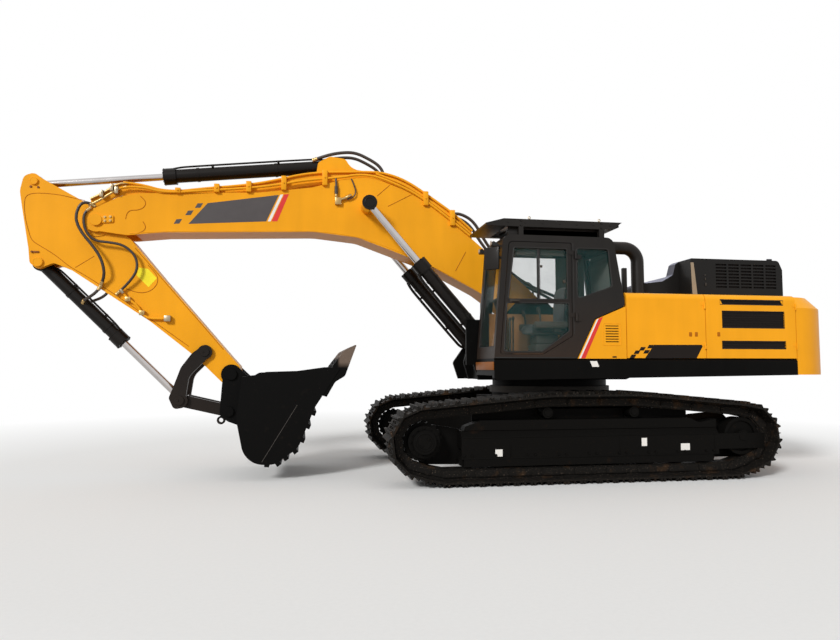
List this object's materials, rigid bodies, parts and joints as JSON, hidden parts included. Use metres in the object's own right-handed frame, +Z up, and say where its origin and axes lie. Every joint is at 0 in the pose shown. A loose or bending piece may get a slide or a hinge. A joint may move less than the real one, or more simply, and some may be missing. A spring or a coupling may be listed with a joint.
{
  "type": "crawler excavator",
  "caption": "Large crawler excavator with slewing upper body, closed cab with roof guard, bent boom, arm and toothed digging bucket on steel tracks.",
  "frame": {"origin": "on the ground under the slewing axis", "axes": "+X forward to the boom and bucket, +Y to the machine's left and the cab, +Z up"},
  "size_m": [10.6608, 3.2, 4.342],
  "materials": {
    "body_paint": "gloss",
    "dark_paint": "satin",
    "track_steel": "satin",
    "machine_steel": "matte",
    "rod_chrome": "polished",
    "window_glass": "polished",
    "seat_trim": "matte",
    "lamp_trim": "matte"
  },
  "bodies": {
    "undercarriage": {"car_body": "dark_paint", "track_frame_left": "dark_paint", "track_frame_right": "dark_paint", "track_left": "track_steel", "track_right": "track_steel", "sprockets": "dark_paint", "idlers": "dark_paint", "track_rollers": "dark_paint", "slew_ring": "machine_steel"},
    "upper": {"main_frame": "dark_paint", "deck_left": "dark_paint", "deck_right": "dark_paint", "cab_shell": "dark_paint", "cab_glass": "window_glass", "roof_guard": "dark_paint", "operator_seat": "seat_trim", "side_panel": "body_paint", "house_frame": "body_paint", "tool_box": "body_paint", "fuel_tank": "body_paint", "hydraulic_tank": "body_paint", "right_panel": "body_paint", "engine": "machine_steel", "counterweight": "body_paint", "intake_pipe": "dark_paint", "exhaust": "dark_paint", "handrails": "dark_paint", "work_lamps": "lamp_trim"},
    "cab_door": {"cab_door": "dark_paint", "door_glass": "window_glass"},
    "service_door": {"service_door": "body_paint"},
    "cooler_door": {"cooler_door": "body_paint"},
    "pump_door": {"pump_door": "body_paint"},
    "engine_hood": {"engine_hood": "dark_paint"},
    "boom": {"boom": "body_paint"},
    "arm": {"arm": "body_paint"},
    "bucket": {"bucket": "dark_paint"},
    "boom_barrels": {"boom_barrels": "dark_paint"},
    "boom_rods": {"boom_rods": "rod_chrome"},
    "arm_barrel": {"arm_barrel": "dark_paint"},
    "arm_rod": {"arm_rod": "rod_chrome"},
    "bucket_barrel": {"bucket_barrel": "dark_paint"},
    "bucket_rod": {"bucket_rod": "rod_chrome"},
    "guide_links": {"guide_links": "dark_paint"},
    "bucket_link": {"bucket_link": "dark_paint"}
  },
  "joints": [
    {"name": "swing", "type": "hinge", "parent": "undercarriage", "child": "upper", "pos_m": [0, 0, 1.15], "axis": [0, 0, 1], "continuous": true},
    {"name": "boom", "type": "hinge", "parent": "upper", "child": "boom", "pos_m": [0.35, 0, 2.2], "axis": [0, -1, 0], "range_deg": [-55, 50]},
    {"name": "arm", "type": "hinge", "parent": "boom", "child": "arm", "pos_m": [6.17, 0, 3.3], "axis": [0, -1, 0], "range_deg": [-5, 92]},
    {"name": "bucket", "type": "hinge", "parent": "arm", "child": "bucket", "pos_m": [4.45, 0, 1.315], "axis": [0, -1, 0], "range_deg": [-75, 95]},
    {"name": "cab_door", "type": "hinge", "parent": "upper", "child": "cab_door", "pos_m": [0.18, 1.508, 2.3], "axis": [0, 0, 1], "range_deg": [0, 170]},
    {"name": "service_door", "type": "hinge", "parent": "upper", "child": "service_door", "pos_m": [-1.564, 1.5, 1.9], "axis": [0, 0, 1], "range_deg": [0, 100]},
    {"name": "cooler_door", "type": "hinge", "parent": "upper", "child": "cooler_door", "pos_m": [-2.885, 1.5, 1.9], "axis": [0, 0, 1], "range_deg": [0, 100]},
    {"name": "pump_door", "type": "hinge", "parent": "upper", "child": "pump_door", "pos_m": [-2.885, -1.5, 1.9], "axis": [0, 0, -1], "range_deg": [0, 100]},
    {"name": "engine_hood", "type": "hinge", "parent": "upper", "child": "engine_hood", "pos_m": [-3.109, 0, 2.369], "axis": [0, -1, 0], "range_deg": [0, 60]},
    {"name": "boom_barrels", "type": "hinge", "parent": "upper", "child": "boom_barrels", "pos_m": [0.984, 0, 1.652], "axis": [0, -1, 0], "range_deg": [-56, 51]},
    {"name": "boom_rods", "type": "slide", "parent": "boom_barrels", "child": "boom_rods", "axis": [0.6561, 0, 0.7547], "range_m": [-0.71, 0.65]},
    {"name": "arm_barrel", "type": "hinge", "parent": "boom", "child": "arm_barrel", "pos_m": [3.1, 0, 4.23], "axis": [0, -1, 0], "range_deg": [-1, 8]},
    {"name": "arm_rod", "type": "slide", "parent": "arm_barrel", "child": "arm_rod", "axis": [0.9935, 0, -0.1135], "range_m": [-1.3, 0.08]},
    {"name": "guide_links", "type": "hinge", "parent": "arm", "child": "guide_links", "pos_m": [4.79, 0, 1.607], "axis": [0, -1, 0], "range_deg": [-59, 75]},
    {"name": "bucket_link", "type": "hinge", "parent": "guide_links", "child": "bucket_link", "pos_m": [5.09, 0, 0.977], "axis": [0, -1, 0], "range_deg": [-50, 40]},
    {"name": "bucket_barrel", "type": "hinge", "parent": "arm", "child": "bucket_barrel", "pos_m": [6.865, 0, 2.745], "axis": [0, -1, 0], "range_deg": [-4, 5]},
    {"name": "bucket_rod", "type": "slide", "parent": "bucket_barrel", "child": "bucket_rod", "axis": [-0.7085, 0, -0.7057], "range_m": [-0.78, 0.62]}
  ],
  "couplings": [
    {"joint": "boom_barrels", "follows": "boom", "ratio": 1.0096},
    {"joint": "boom_rods", "follows": "boom", "m_per_rad": 0.7313},
    {"joint": "arm_barrel", "follows": "arm", "ratio": 0.0764},
    {"joint": "arm_rod", "follows": "arm", "m_per_rad": -0.8042},
    {"joint": "guide_links", "follows": "bucket", "ratio": 0.7755},
    {"joint": "bucket_link", "follows": "bucket", "ratio": -0.5158},
    {"joint": "bucket_barrel", "follows": "bucket", "ratio": 0.046},
    {"joint": "bucket_rod", "follows": "bucket", "m_per_rad": -0.4602}
  ]
}
